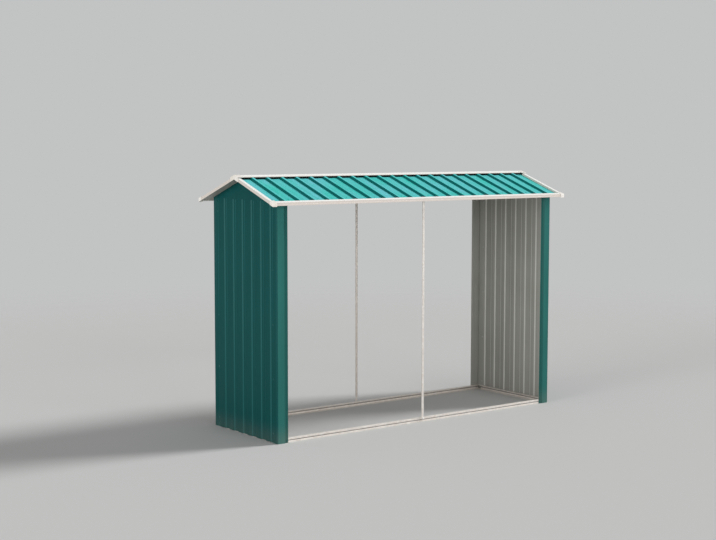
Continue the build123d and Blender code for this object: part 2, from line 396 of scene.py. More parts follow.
    def two_sides(
        self, tree: NodeTree, normal: Socket, facing: Facing, shown: Socket, backing: Socket
    ) -> Socket:
        """Put the colour coat on one side of the sheet and the backing on the other.

        Args:
            tree: Node tree of the coating.
            normal: Way that the surface looks.
            facing: Side that carries the colour coat.
            shown: Colour of the shown side.
            backing: Colour of the backing.

        Returns:
            The colour of the sheet.
        """
        looks = add_node(
            tree, "ShaderNodeVectorMath", {0: normal, 1: facing.value}, operation="DOT_PRODUCT"
        )
        side = add_node(tree, "ShaderNodeMapRange", {
            "Value": looks.outputs["Value"], "From Min": self.shown_from,
            "From Max": self.shown_from + self.shown_blend,
        })
        return add_node(
            tree, "ShaderNodeMix", {0: side.outputs[0], 6: backing, 7: shown}, data_type="RGBA"
        ).outputs[2]

    def sheared_ends(self, tree: NodeTree, normal: Socket, fold: Fold, coat: Socket) -> Socket:
        """Bare the zinc where the strip was sheared, at the ends of its folds.

        Args:
            tree: Node tree of the coating.
            normal: Way that the surface looks.
            fold: Run of the fold lines.
            coat: Colour of the sheet.

        Returns:
            The colour with its sheared ends.
        """
        along = add_node(
            tree, "ShaderNodeVectorMath", {0: normal, 1: fold.value}, operation="DOT_PRODUCT"
        )
        end_on = add_node(tree, "ShaderNodeMath", {0: along.outputs["Value"]}, operation="ABSOLUTE")
        sheared = add_node(
            tree, "ShaderNodeMapRange", {"Value": end_on.outputs[0], "From Min": 0.94, "From Max": 0.97}
        )
        return add_node(tree, "ShaderNodeMix", {
            0: sheared.outputs[0], 6: coat, 7: linear(self.sheared),
        }, data_type="RGBA").outputs[2]

    def dusty_foot(self, tree: NodeTree, at: bpy.types.Node, streaks: Socket, coat: Socket) -> Socket:
        """Splash dust up the foot of the sheet, in streaks.

        Args:
            tree: Node tree of the coating.
            at: Place on the piece, by axis.
            streaks: Strength of the rain streaks.
            coat: Colour of the sheet.

        Returns:
            The colour with its dust.
        """
        low = add_node(tree, "ShaderNodeMapRange", {
            "Value": at.outputs["Z"], "From Min": 0.0, "From Max": self.dust_height_mm * MM,
            "To Min": self.dust_amount, "To Max": 0.0,
        }, interpolation_type="SMOOTHSTEP")
        dusty = add_node(tree, "ShaderNodeMath", {0: low.outputs[0], 1: streaks}, operation="MULTIPLY")
        return add_node(tree, "ShaderNodeMix", {
            0: dusty.outputs[0], 6: coat, 7: linear(self.dust),
        }, data_type="RGBA").outputs[2]


@dataclass(frozen=True)
class GalvanisedSteel:
    """Hot-dip galvanised steel strip, folded after it was dipped.

    It gives the eye frozen zinc crystals, each with its own tilt and gloss,
    under a thin white bloom, and a line of painted shade along the swage of a rail.
    """

    name: str = "hot_dip_galvanised_steel"
    bright: str = "#E9E4DE"
    dull: str = "#D8D1CA"
    bloom: str = "#DED7D0"
    # Tone of the painted shade along the swage of a rail.
    swage_shade: str = "#6B635C"
    roughness: float = 0.42
    crystal_mm: float = 14.0
    crystal_tilt_mm: float = 0.01
    swage_line_mm: float = 14.0
    swage_half_mm: float = 5.0
    swage_shade_amount: float = 0.95
    bloom_mm: float = 90.0
    grain_mm: float = 2.5
    grain_height_mm: float = 0.02
    metallic_bright: float = 0.4
    metallic_bloomed: float = 0.2

    def material(self) -> bpy.types.Material:
        """Build the zinc finish and return its material."""
        material, tree = new_material(self.name)
        here = add_node(tree, "ShaderNodeTexCoord").outputs["Object"]
        ragged = add_node(
            tree, "ShaderNodeTexNoise", {"Vector": here, "Scale": per_mm(self.crystal_mm / 2), "Detail": 2.0}
        )
        pulled = add_node(tree, "ShaderNodeVectorMath", {
            0: ragged.outputs["Color"], "Scale": self.crystal_mm * MM * 0.5,
        }, operation="SCALE")
        shifted = add_node(tree, "ShaderNodeVectorMath", {0: here, 1: pulled.outputs[0]}, operation="ADD")
        crystals = add_node(tree, "ShaderNodeTexVoronoi", {
            "Vector": shifted.outputs[0], "Scale": per_mm(self.crystal_mm),
        })
        spangle = add_node(tree, "ShaderNodeSeparateColor", {0: crystals.outputs["Color"]})
        clouds = add_node(
            tree, "ShaderNodeTexNoise", {"Vector": here, "Scale": per_mm(self.bloom_mm), "Detail": 4.0}
        )
        bloomed = add_node(tree, "ShaderNodeMapRange", {
            "Value": clouds.outputs["Fac"], "From Min": 0.45, "From Max": 0.7, "To Max": 0.6,
        })
        zinc = add_node(tree, "ShaderNodeMix", {
            0: spangle.outputs["Red"], 6: linear(self.bright), 7: linear(self.dull),
        }, data_type="RGBA")
        colour = add_node(tree, "ShaderNodeMix", {
            0: bloomed.outputs[0], 6: zinc.outputs[2], 7: linear(self.bloom),
        }, data_type="RGBA")
        # Painted shade darkens a line 14 mm up, along the pressed swage of a rail on the ground.
        height = add_node(tree, "ShaderNodeSeparateXYZ", {0: here})
        off_line = add_node(tree, "ShaderNodeMath", {
            0: height.outputs["Z"], 1: self.swage_line_mm * MM,
        }, operation="SUBTRACT")
        from_line = add_node(tree, "ShaderNodeMath", {0: off_line.outputs[0]}, operation="ABSOLUTE")
        swage_shaded = add_node(tree, "ShaderNodeMapRange", {
            "Value": from_line.outputs[0], "From Max": self.swage_half_mm * MM,
            "To Min": self.swage_shade_amount, "To Max": 0.0,
        }, interpolation_type="SMOOTHSTEP")
        colour = add_node(tree, "ShaderNodeMix", {
            0: swage_shaded.outputs[0], 6: colour.outputs[2], 7: linear(self.swage_shade),
        }, data_type="RGBA")
        gloss = add_node(tree, "ShaderNodeMapRange", {
            "Value": spangle.outputs["Green"], "To Min": self.roughness - 0.06,
            "To Max": self.roughness + 0.10,
        })
        metal = add_node(tree, "ShaderNodeMapRange", {
            "Value": bloomed.outputs[0], "To Min": self.metallic_bright,
            "To Max": self.metallic_bloomed,
        })
        tilt = add_node(tree, "ShaderNodeBump", {
            "Height": spangle.outputs["Blue"], "Distance": self.crystal_tilt_mm * MM,
        })
        grain = add_node(
            tree, "ShaderNodeTexNoise", {"Vector": here, "Scale": per_mm(self.grain_mm), "Detail": 2.0}
        )
        skin = add_node(tree, "ShaderNodeBump", {
            "Height": grain.outputs["Fac"], "Distance": self.grain_height_mm * MM,
            "Normal": tilt.outputs[0],
        })
        shader = add_node(tree, "ShaderNodeBsdfPrincipled", {
            "Base Color": colour.outputs[2], "Metallic": metal.outputs[0],
            "Roughness": gloss.outputs[0], "Normal": skin.outputs[0],
        })
        add_node(tree, "ShaderNodeOutputMaterial", {"Surface": shader.outputs[0]})
        return material


@dataclass(frozen=True)
class MouldedPolypropylene:
    """White polypropylene, injection moulded in a finely etched tool.

    It gives the eye a milky satin white with a fine etched grain and a faint
    yellowing where the sun reaches.
    """

    name: str = "moulded_white_polypropylene"
    fresh: str = "#E9E5DF"
    sunned: str = "#DFD9CF"
    roughness: float = 0.44
    # The real etching is about 0.2 mm; 1.6 mm is as fine as a close view shows.
    etch_mm: float = 1.6
    etch_height_mm: float = 0.03
    ageing_mm: float = 60.0

    def material(self) -> bpy.types.Material:
        """Build the moulded finish and return its material."""
        material, tree = new_material(self.name)
        here = add_node(tree, "ShaderNodeTexCoord").outputs["Object"]
        ageing = add_node(
            tree, "ShaderNodeTexNoise", {"Vector": here, "Scale": per_mm(self.ageing_mm), "Detail": 3.0}
        )
        aged = add_node(
            tree, "ShaderNodeMapRange", {"Value": ageing.outputs["Fac"], "From Min": 0.4, "From Max": 0.7}
        )
        colour = add_node(tree, "ShaderNodeMix", {
            0: aged.outputs[0], 6: linear(self.fresh), 7: linear(self.sunned),
        }, data_type="RGBA")
        gloss = add_node(tree, "ShaderNodeMapRange", {
            "Value": ageing.outputs["Fac"], "To Min": self.roughness - 0.08,
            "To Max": self.roughness + 0.08,
        })
        etching = add_node(tree, "ShaderNodeTexNoise", {"Vector": here, "Scale": per_mm(self.etch_mm)})
        skin = add_node(tree, "ShaderNodeBump", {
            "Height": etching.outputs["Fac"], "Distance": self.etch_height_mm * MM,
        })
        shader = add_node(tree, "ShaderNodeBsdfPrincipled", {
            "Base Color": colour.outputs[2], "Roughness": gloss.outputs[0], "Normal": skin.outputs[0],
            "IOR": 1.49, "Specular IOR Level": 0.4,
        })
        add_node(tree, "ShaderNodeOutputMaterial", {"Surface": shader.outputs[0]})
        return material


@dataclass(frozen=True)
class ShadeFoam:
    """Closed-cell EPDM foam, split from a block and cut to the sheet's profile.

    It gives the eye a dull black full of small cut cells, greyed by dust. That near-black
    is painted shade: it stands in for the deep shade under the ridge cap.
    """

    name: str = "cut_epdm_foam"
    skin: str = "#050D0D"
    dusty: str = "#0C1C1C"
    roughness: float = 0.9
    # The real cells are about 0.5 mm; 1.5 mm is as fine as a close view shows.
    cell_mm: float = 1.5
    cell_depth_mm: float = 0.3
    dust_mm: float = 18.0

    def material(self) -> bpy.types.Material:
        """Build the foam and return its material."""
        material, tree = new_material(self.name)
        here = add_node(tree, "ShaderNodeTexCoord").outputs["Object"]
        dust = add_node(
            tree, "ShaderNodeTexNoise", {"Vector": here, "Scale": per_mm(self.dust_mm), "Detail": 4.0}
        )
        colour = add_node(tree, "ShaderNodeMix", {
            0: dust.outputs["Fac"], 6: linear(self.skin), 7: linear(self.dusty),
        }, data_type="RGBA")
        cells = add_node(tree, "ShaderNodeTexVoronoi", {"Vector": here, "Scale": per_mm(self.cell_mm)})
        pits = add_node(tree, "ShaderNodeBump", {
            "Height": cells.outputs["Distance"], "Distance": self.cell_depth_mm * MM,
        })
        shader = add_node(tree, "ShaderNodeBsdfPrincipled", {
            "Base Color": colour.outputs[2], "Roughness": self.roughness, "Normal": pits.outputs[0],
            "IOR": 1.5, "Specular IOR Level": 0.1,
        })
        add_node(tree, "ShaderNodeOutputMaterial", {"Surface": shader.outputs[0]})
        return material


@dataclass(frozen=True)
class PaintedHead:
    """Powder-coated screw head, baked on over zinc plate.

    It gives the eye the sheet's own colour, a little glossier, with paint
    chipped to zinc where the driver bit.
    """

    name: str
    paint: str
    zinc: str = "#B9BABA"
    roughness: float = 0.36
    chip_mm: float = 2.4

    def material(self) -> bpy.types.Material:
        """Build the painted head and return its material."""
        material, tree = new_material(self.name)
        here = add_node(tree, "ShaderNodeTexCoord").outputs["Object"]
        chips = add_node(
            tree, "ShaderNodeTexNoise", {"Vector": here, "Scale": per_mm(self.chip_mm), "Detail": 2.0}
        )
        bare = add_node(
            tree, "ShaderNodeMapRange", {"Value": chips.outputs["Fac"], "From Min": 0.68, "From Max": 0.72}
        )
        colour = add_node(tree, "ShaderNodeMix", {
            0: bare.outputs[0], 6: linear(self.paint), 7: linear(self.zinc),
        }, data_type="RGBA")
        gloss = add_node(tree, "ShaderNodeMapRange", {
            "Value": chips.outputs["Fac"], "To Min": self.roughness - 0.06,
            "To Max": self.roughness + 0.08,
        })
        shader = add_node(tree, "ShaderNodeBsdfPrincipled", {
            "Base Color": colour.outputs[2], "Roughness": gloss.outputs[0], "IOR": 1.5,
            "Specular IOR Level": 0.35,
        })
        add_node(tree, "ShaderNodeOutputMaterial", {"Surface": shader.outputs[0]})
        return material


@dataclass(frozen=True)
class ZincPlate:
    """Electroplated zinc on turned and pressed fasteners.

    It gives the eye a bright bluish metal with dull patches where it was tumbled.
    """

    name: str = "zinc_plated_fastener"
    bright: str = "#D0D1D3"
    dull: str = "#A9AAAC"
    roughness: float = 0.28
    patch_mm: float = 3.0

    def material(self) -> bpy.types.Material:
        """Build the plated finish and return its material."""
        material, tree = new_material(self.name)
        here = add_node(tree, "ShaderNodeTexCoord").outputs["Object"]
        patches = add_node(
            tree, "ShaderNodeTexNoise", {"Vector": here, "Scale": per_mm(self.patch_mm), "Detail": 2.0}
        )
        colour = add_node(tree, "ShaderNodeMix", {
            0: patches.outputs["Fac"], 6: linear(self.bright), 7: linear(self.dull),
        }, data_type="RGBA")
        gloss = add_node(tree, "ShaderNodeMapRange", {
            "Value": patches.outputs["Fac"], "To Min": self.roughness - 0.08,
            "To Max": self.roughness + 0.12,
        })
        shader = add_node(tree, "ShaderNodeBsdfPrincipled", {
            "Base Color": colour.outputs[2], "Metallic": 1.0, "Roughness": gloss.outputs[0],
        })
        add_node(tree, "ShaderNodeOutputMaterial", {"Surface": shader.outputs[0]})
        return material


@dataclass(frozen=True)
class Finishes:
    """The finishes of the whole store."""

    # Walls, posts and roof share one teal sheet colour. The differences between their three teals
    # are painted light and shade: darkest on the walls, mid on the posts, lightest on the roof.
    wall: CoilCoat = CoilCoat(
        "coil_coated_wall_sheet",
        "#0A4544",
        "#0D4948",
        backing="#9E9E98",
        backing_weathered="#94948D",
        specular_level=0.06,
        # Painted highlight on the groove flanks, outside only within 310 mm of the middle, inside
        # everywhere.
        fold_shading_tone="#1F5958",
        fold_backing_shading_tone="#D2D2CC",
        fold_shading_amount=0.9,
        fold_reach_mm=310.0,
        shown_from=-0.6,
        # A fine painted highlight line down the floor of each groove.
        highlight_pitch_mm=101.0,
    )
    gable: CoilCoat = replace(wall, shown_from=0.02, highlight_pitch_mm=0.0)
    post: CoilCoat = CoilCoat(
        "coil_coated_post",
        "#23615C",
        "#286964",
        backing="#A8A8A2",
        backing_weathered="#9E9E97",
        wave_mm=320.0,
        wave_height_mm=0.6,
        dust_amount=0.3,
        specular_level=0.15,
        # Painted shade on the set-back lips and steps of the posts, within 1055 mm of the middle.
        lip_line_mm=1055.0,
    )
    top_rail: CoilCoat = replace(post, lip_line_mm=0.0)
    roof: CoilCoat = CoilCoat(
        "coil_coated_roof_sheet",
        "#3CC4B8",
        # Pale bluish patches of painted sky reflection on the pans, mixed in by the mottle.
        "#68C6CE",
        roughness=0.5,
        specular_level=0.08,
        wave_mm=150.0,
        # Painted shade on the rib flanks; underneath, the pale default fold backing paints a highlight.
        fold_shading_tone="#006462",
        fold_shading_amount=1.0,
        fold_axis="X",
        dust_amount=0.0,
    )
    trim: CoilCoat = CoilCoat(
        "coil_coated_white_trim",
        "#F6F6F4",
        "#F0EEEA",
        backing="#DEDBD5",
        backing_weathered="#D3CFC7",
        # Painted shade on faces that look front or back, such as the eave trim's face.
        fold_shading_tone="#D0C8C0",
        fold_backing_shading_tone="#DEDBD5",
        fold_shading_amount=1.0,
        shown_from=-0.3,
        wave_mm=400.0,
        wave_height_mm=0.4,
        specular_level=0.35,
        dust_amount=0.0,
    )
    # The verges get the painted shade on faces that look left or right instead.
    verge: CoilCoat = replace(trim, fold_axis="X")
    galvanised: GalvanisedSteel = GalvanisedSteel()
    plastic: MouldedPolypropylene = MouldedPolypropylene()
    # Near-black foam fillers under the ridge cap, standing in for its deep shade.
    foam: ShadeFoam = ShadeFoam()
    # Screw heads match the tones of the sheets under them, painted light and shade included.
    green_head: PaintedHead = PaintedHead("painted_head_green", "#0F5C5B", chip_mm=1.2)
    roof_head: PaintedHead = PaintedHead("painted_head_roof", "#34BDB6")
    white_head: PaintedHead = PaintedHead("painted_head_white", "#E9E7E2")
    zinc: ZincPlate = ZincPlate()


# Shapes


def mesh_of(bm: bmesh.types.BMesh, name: str) -> bpy.types.Mesh:
    """Turn a bmesh into a mesh and free it.

    Args:
        bm: Finished shape.
        name: Name of the mesh.

    Returns:
        The mesh.
    """
    mesh = bpy.data.meshes.new(name)
    bm.to_mesh(mesh)
    bm.free()
    return mesh


def finish_mesh(
    bm: bmesh.types.BMesh, name: str, materials: Sequence[bpy.types.Material], sharp_deg: float = 35.0
) -> bpy.types.Object:
    """Turn a bmesh into a shaded object at the origin.

    Args:
        bm: Finished shape, in place. It is freed.
        name: Name of the piece.
        materials: Materials by index.
        sharp_deg: Edges that turn more than this stay sharp.

    Returns:
        The object, linked to the scene.
    """
    mesh = mesh_of(bm, name)
    for material in materials:
        mesh.materials.append(material)
    mesh.shade_smooth()
    mesh.set_sharp_from_angle(angle=math.radians(sharp_deg))
    piece = bpy.data.objects.new(name, mesh)
    bpy.context.scene.collection.objects.link(piece)
    return piece


def edges_at(verts: Iterable[bmesh.types.BMVert]) -> list[bmesh.types.BMEdge]:
    """List the edges at some vertices, each once and in the same order every run.

    Args:
        verts: Vertices to start from.

    Returns:
        Their edges.
    """
    return list(dict.fromkeys(edge for vert in verts for edge in vert.link_edges))


def turned(bm: bmesh.types.BMesh, profile: Iterable[tuple[float, float]], steps: int) -> None:
    """Spin a profile of radius and height round Z and close it.

    Args:
        bm: Mesh that gets the turned shape.
        profile: Radius and height of each point in mm, from one pole to the other.
        steps: Faces round the axis.
    """
    verts = [bm.verts.new((radius * MM, 0.0, height * MM)) for radius, height in profile]
    edges = [bm.edges.new(pair) for pair in zip(verts, verts[1:])]
    bmesh.ops.spin(
        bm,
        geom=verts + edges,
        cent=(0.0, 0.0, 0.0),
        axis=(0.0, 0.0, 1.0),
        angle=math.tau,
        steps=steps,
        use_merge=True,
    )
    bmesh.ops.remove_doubles(bm, verts=bm.verts, dist=0.005 * MM)
    bmesh.ops.recalc_face_normals(bm, faces=bm.faces)


@dataclass
class Seat:
    """A place on a sheet where a fastener sits."""

    point: Vector
    outward: Vector

    def matrix(self, turn: float) -> Matrix:
        """Transform from a fastener's own axes, Z outwards, to its seat.

        Args:
            turn: Angle about the fastener's own axis.

        Returns:
            The transform.
        """
        upright = self.outward.normalized().to_track_quat("Z", "Y").to_matrix().to_4x4()
        return Matrix.Translation(self.point) @ upright @ Matrix.Rotation(turn, 4, "Z")


@dataclass
class PanHeadScrew:
    """Pan-head screw with a cross recess over a flat washer; sizes in mm."""

    head_radius: float = 4.0
    head_height: float = 2.2
    crown_radius: float = 2.7
    recess_span: float = 3.9
    recess_depth: float = 1.2
    washer_radius: float = 5.5
    washer_height: float = 0.9
    shank_radius: float = 1.9
    shank_length: float = 0.0
    shank_taper: float = 1.4
    shoulder_share: float = 0.45
    recess_taper: float = 0.82
    recess_turn_deg: float = 15.0
    washer_chamfer: float = 0.4
    sides: int = 12

    def mesh(self) -> bpy.types.Mesh:
        """Model the screw from its seat outwards and return its mesh."""
        bm = bmesh.new()
        top = self.washer_height + self.head_height
        recess_turn = Matrix.Rotation(math.radians(self.recess_turn_deg), 4, "Z")
        rim = bmesh.ops.create_circle(
            bm,
            segments=self.sides,
            radius=self.crown_radius * MM,
            matrix=Matrix.Translation((0, 0, top * MM)) @ recess_turn,
        )["verts"]
        rim = edges_at(rim)
        crown = rim
        for radius, height in (
            (self.head_radius, top - self.head_height * self.shoulder_share),
            (self.head_radius, self.washer_height),
        ):
            made = bmesh.ops.extrude_edge_only(bm, edges=crown)["geom"]
            verts = [g for g in made if isinstance(g, bmesh.types.BMVert)]
            crown = [g for g in made if isinstance(g, bmesh.types.BMEdge)]
            spread = radius / (verts[0].co.xy.length / MM)
            bmesh.ops.scale(bm, verts=verts, vec=(spread, spread, 1.0))
            bmesh.ops.translate(bm, verts=verts, vec=(0, 0, height * MM - verts[0].co.z))
        grid = bmesh.ops.create_grid(
            bm,
            x_segments=3,
            y_segments=3,
            size=self.recess_span / 2 * MM,
            matrix=Matrix.Translation((0, 0, top * MM)),
        )["verts"]
        corners = [v for v in grid if len(v.link_edges) == 2]
        bmesh.ops.delete(bm, geom=corners, context="VERTS")
        cross = [v for v in grid if v.is_valid]
        cross_faces = list(dict.fromkeys(f for v in cross for f in v.link_faces))
        cross_rim = [e for e in edges_at(cross) if len(e.link_faces) == 1]
        bmesh.ops.bridge_loops(bm, edges=rim + cross_rim)
        sunk = bmesh.ops.extrude_face_region(bm, geom=cross_faces)["geom"]
        sunk_verts = [g for g in sunk if isinstance(g, bmesh.types.BMVert)]
        bmesh.ops.translate(bm, verts=sunk_verts, vec=(0, 0, -self.recess_depth * MM))
        bmesh.ops.scale(bm, verts=sunk_verts, vec=(self.recess_taper, self.recess_taper, 1.0))
        bmesh.ops.delete(bm, geom=cross_faces, context="FACES_ONLY")
        washer = bmesh.new()
        turned(
            washer,
            [
                (0.0, self.washer_height),
                (self.washer_radius - self.washer_chamfer, self.washer_height),
                (self.washer_radius, 0.0),
            ],
            self.sides,
        )
        if self.shank_length:
            turned(
                washer,
                [
                    (self.shank_radius, 0.0),
                    (self.shank_radius, -self.shank_length + self.shank_radius * self.shank_taper),
                    (0.0, -self.shank_length),
                ],
                self.sides // 2,
            )
        for face in washer.faces:
            face.material_index = 1
        scrap = mesh_of(washer, "washer")
        bm.from_mesh(scrap)
        bpy.data.meshes.remove(scrap)
        bmesh.ops.recalc_face_normals(bm, faces=bm.faces)
        return mesh_of(bm, "pan_head_screw")


@dataclass
class BlindRivet:
    """Domed blind rivet with its pulled mandrel; sizes in mm."""

    radius: float = 3.6
    height: float = 1.3
    mandrel: float = 1.0
    dimple: float = 0.5
    crown_radius_share: float = 0.72
    crown_height_share: float = 0.8
    rim_height: float = 0.25
    sides: int = 12

    def mesh(self) -> bpy.types.Mesh:
        """Model the rivet from its seat outwards and return its mesh."""
        bm = bmesh.new()
        turned(
            bm,
            [
                (0.0, self.height - self.dimple),
                (self.mandrel, self.height - self.dimple),
                (self.mandrel, self.height),
                (self.radius * self.crown_radius_share, self.height * self.crown_height_share),
                (self.radius, self.rim_height),
                (self.radius, 0.0),
            ],
            self.sides,
        )
        return mesh_of(bm, "blind_rivet")


TRIM_RIVET = BlindRivet(radius=3.2, height=1.0, mandrel=0.8)


@dataclass
class HexNut:
    """Hexagon nut over a washer, with the bolt's end standing out; sizes in mm."""

    across_flats: float = 7.0
    height: float = 3.0
    washer_radius: float = 4.5
    washer_height: float = 0.8
    bolt_radius: float = 2.0
    bolt_proud: float = 2.5
    bolt_chamfer: float = 0.4
    bolt_sunk: float = 0.2
    corner_chamfer: float = 0.5
    washer_sides: int = 12
    bolt_sides: int = 8

    def mesh(self) -> bpy.types.Mesh:
        """Model the nut from its seat outwards and return its mesh."""
        bm = bmesh.new()
        radius = self.across_flats / 2 / math.cos(math.pi / 6) * MM
        nut = bmesh.ops.create_cone(
            bm,
            cap_ends=True,
            segments=6,
            radius1=radius,
            radius2=radius,
            depth=self.height * MM,
            matrix=Matrix.Translation((0, 0, (self.washer_height + self.height / 2) * MM)),
        )["verts"]
        edges = edges_at(nut)
        bmesh.ops.bevel(
            bm,
            geom=[e for e in edges if all(v.co.z > self.height * MM for v in e.verts)],
            offset=self.corner_chamfer * MM,
            affect="EDGES",
            segments=1,
            profile=0.5,
            material=-1,
        )
        turned(
            bm,
            [
                (0.0, self.washer_height),
                (self.washer_radius, self.washer_height),
                (self.washer_radius, 0.0),
            ],
            self.washer_sides,
        )
        top_z = self.washer_height + self.height + self.bolt_proud
        turned(
            bm,
            [
                (0.0, top_z),
                (self.bolt_radius - self.bolt_chamfer, top_z),
                (self.bolt_radius, top_z - self.bolt_chamfer),
                (self.bolt_radius, self.washer_height + self.height - self.bolt_sunk),
            ],
            self.bolt_sides,
        )
        return mesh_of(bm, "hex_nut")


@dataclass
class FastenerSet:
    """One named set of equal fasteners, modelled once and set at each seat."""

    name: str
    slot: str
    pattern: bpy.types.Mesh
    seats: list[Seat]
    materials: Sequence[bpy.types.Material]
    seed: int = 5

    def build(self) -> bpy.types.Object:
        """Set the fastener at each seat with its own turn and return the piece."""
        turns = random.Random(self.seed)
        bm = bmesh.new()
        for seat in self.seats:
            before = len(bm.verts)
            bm.from_mesh(self.pattern)
            bm.verts.ensure_lookup_table()
            bmesh.ops.transform(
                bm, matrix=seat.matrix(turns.uniform(0.0, math.tau)), verts=bm.verts[before:]
            )
        piece = finish_mesh(bm, self.name, self.materials)
        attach(piece, "root")
        log.info("%s: %d fasteners", self.name, len(self.seats))
        return piece


# Sub-assemblies


@dataclass
class Roof:
    """Ribbed sheets, gables, ridge beam, trims and their fixings; sizes in mm."""

    rib_count: int = 21
    rib_pitch: float = 106.0
    rib_height: float = 13.0
    rib_foot: float = 16.5
    rib_run: float = 9.0
    filler_line: float = 19.0
    filler_depth: float = 12.0
    filler_height: float = 13.0
    filler_round: float = 0.8
    filler_clearance: float = 0.3
    sheet_gauge: float = 0.8
    trim_gauge: float = 1.0
    verge_rise: float = 14.0
    verge_width: float = 22.0
    ridge_lip: float = 3.0
    rail_line: float = 330.0
    eave_rivet_inset: float = 12.0
    ridge_rivet_drop: float = 16.0
    gable_line: float = 1092.0
    lap_clearance: float = 0.3
    screw_shank: float = 9.0
    screw_step: int = 2
    rivet_step: int = 3
    lap_ribs: Sequence[int] = (7, 13)
    gable_screw_lines: Sequence[float] = (110.0, 230.0)
    lap_rivet_lines: Sequence[float] = (90.0, 220.0, 350.0)
    verge_rivet_lines: Sequence[float] = (90.0, 215.0, 340.0)
    finishes: Finishes = field(default_factory=Finishes)

    def __post_init__(self) -> None:
        """Read the roof's places from the frame."""
        self.half_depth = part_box("eave_trim_back")[1].y / MM
        self.half_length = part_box("verge_trim_back_right")[1].x / MM
        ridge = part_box("ridge_cap")[1].z / MM
        self.crest_seat = self.rib_height + 2 * self.sheet_gauge + self.lap_clearance
        self.ridge_wing = self.crest_seat + self.ridge_lip + self.trim_gauge
        self.pan_at_ridge = ridge - self.ridge_wing / SLOPE_COS

    def on_slope(self, x: float, y: float, offset: float) -> Seat:
        """Seat on either slope.

        Args:
            x: Place along the length, in mm.
            y: Place from front to back, in mm; its sign picks the slope.
            offset: Height above the underside of the pans, in mm.

        Returns:
            The seat, looking square off the slope.
        """
        outward = Vector((0.0, math.copysign(SLOPE_SIN, y), SLOPE_COS))
        z = self.pan_at_ridge - abs(y) * SLOPE_TAN + offset / SLOPE_COS
        return Seat(Vector((x, y, z)) * MM, outward)

    def dress(self) -> None:
        """Give the sheets, gables, trims and beam their finishes."""
        for side, facing, fold in (
            ("front", Facing.FRONT_SLOPE, Fold.UP_FRONT_SLOPE),
            ("back", Facing.BACK_SLOPE, Fold.UP_BACK_SLOPE),
        ):
            coat = self.finishes.roof.material(facing, fold)
            for order in (1, 2, 3):
                dress_node(f"roof_sheet_{side}_{order}", coat)
            verge = self.finishes.verge.material(facing, fold)
            for end in ("left", "right"):
                dress_node(f"verge_trim_{side}_{end}", verge)
        dress_node("eave_trim_front", self.finishes.trim.material(Facing.FRONT_UP, Fold.LENGTHWAYS))
        dress_node("eave_trim_back", self.finishes.trim.material(Facing.BACK_UP, Fold.LENGTHWAYS))
        dress_node("ridge_cap", self.finishes.trim.material(Facing.UP, Fold.LENGTHWAYS))
        dress_node("gable_left", self.finishes.gable.material(Facing.LEFT, Fold.UPRIGHT))
        dress_node("gable_right", self.finishes.gable.material(Facing.RIGHT, Fold.UPRIGHT))
        dress_node("ridge_beam", self.finishes.galvanised.material())

    def fillers(self) -> None:
        """Close the slots between ribs and ridge cap with foam profile fillers, black as painted shade."""
        foam = self.finishes.foam.material()
        pan = self.rib_pitch - 2 * self.rib_foot - 2 * self.filler_clearance
        widened = 1 + 2 * self.filler_height * self.rib_run / self.rib_height / pan
        for side, way in (("front", -1), ("back", 1)):
            bm = bmesh.new()
            for i in range(self.rib_count + 1):
                block = bmesh.ops.create_cube(bm, size=1.0)["verts"]
                bmesh.ops.scale(
                    bm, verts=block, vec=(pan * MM, self.filler_depth * MM, self.filler_height * MM)
                )
                top = [v for v in block if v.co.z > 0]
                bmesh.ops.scale(bm, verts=top, vec=(widened, 1.0, 1.0))
                x = (i - self.rib_count / 2) * self.rib_pitch
                seat = self.on_slope(
                    x, way * self.filler_line, self.sheet_gauge + self.filler_height / 2
                )
                lean = Matrix.Rotation(-way * ROOF_PITCH, 4, "X")
                bmesh.ops.transform(bm, matrix=Matrix.Translation(seat.point) @ lean, verts=block)
            bmesh.ops.bevel(
                bm,
                geom=bm.edges[:],
                offset=self.filler_round * MM,
                affect="EDGES",
                segments=2,
                profile=0.5,
                material=-1,
            )
            bmesh.ops.recalc_face_normals(bm, faces=bm.faces)
            piece = finish_mesh(bm, f"ridge_fillers_{side}", (foam,))
            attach(piece, "root")
            log.info("%s: %d fillers", piece.name, self.rib_count + 1)

    def fix(self) -> None:
        """Add the screws and rivets of the roof."""
        teal = self.finishes.roof_head.material()
        white = self.finishes.white_head.material()
        screw = PanHeadScrew(shank_length=self.screw_shank).mesh()
        rivet = BlindRivet().mesh()
        small_rivet = TRIM_RIVET.mesh()
        middle = (self.rib_count - 1) / 2
        pans = [
            (i - middle + 0.5) * self.rib_pitch
            for i in range(0, self.rib_count - 1, self.screw_step)
        ]
        ribs = [(i - middle) * self.rib_pitch for i in range(0, self.rib_count, self.rivet_step)]
        laps = [(i - middle) * self.rib_pitch for i in self.lap_ribs]
        gables = (-self.gable_line, self.gable_line)
        verge_x = self.half_length - self.verge_width / 2
        eave_y = self.half_depth - self.eave_rivet_inset
        screw_rows = ((pans, (self.rail_line,)), (gables, self.gable_screw_lines))
        eave_rows = ((ribs, (eave_y,)),)
        ridge_rows = ((ribs, (self.ridge_rivet_drop,)),)
        lap_rows = ((laps, self.lap_rivet_lines),)
        verge_rows = (((-verge_x, verge_x), self.verge_rivet_lines),)
        on_trim = self.crest_seat + self.trim_gauge
        for side, way in (("front", -1), ("back", 1)):
            for name, slot, pattern, coats, offset, rows in (
                ("roof_screws", "roof_sheet", screw, (teal, teal), self.sheet_gauge, screw_rows),
                ("eave_rivets", "white_trim", small_rivet, (white,), on_trim, eave_rows),
                ("ridge_rivets", "white_trim", small_rivet, (white,), self.ridge_wing, ridge_rows),
                ("lap_rivets", "roof_sheet", rivet, (teal,), self.crest_seat, lap_rows),
                ("verge_rivets", "white_trim", rivet, (white,), self.verge_rise, verge_rows),
            ):
